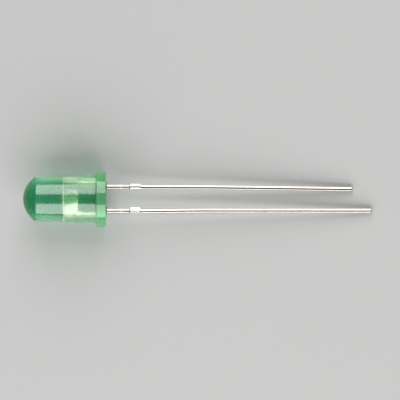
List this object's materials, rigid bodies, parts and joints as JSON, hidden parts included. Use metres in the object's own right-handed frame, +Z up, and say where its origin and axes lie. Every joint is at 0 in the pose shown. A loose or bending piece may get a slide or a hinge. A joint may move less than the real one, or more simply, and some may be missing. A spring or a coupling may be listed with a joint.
{
  "type": "through hole LED",
  "caption": "Green domed 5 mm through-hole light-emitting diode: translucent flanged lens with a cathode flat and uncut square leads, lying on its side as it comes to rest.",
  "frame": {"origin": "on the surface the part lies on, under the middle of its length, with the body's axis over y = 0", "axes": "+X along the part from the dome to the tips of the leads, +Y to the short lead's side, +Z up"},
  "size_m": [0.0358, 0.0057, 0.006],
  "materials": {
    "green_resin": "glossy cast epoxy, green tinted and slightly hazy",
    "tinned_lead": "bright tin over stamped steel",
    "chip": "polished crystal",
    "silver_glue": "silver filled epoxy",
    "gold_wire": "bright drawn gold"
  },
  "bodies": {
    "root": {"lens": "green_resin", "cathode_lead": "tinned_lead", "anode_lead": "tinned_lead", "led_chip": "chip", "die_attach": "silver_glue", "bond_wire": "gold_wire"}
  },
  "joints": []
}
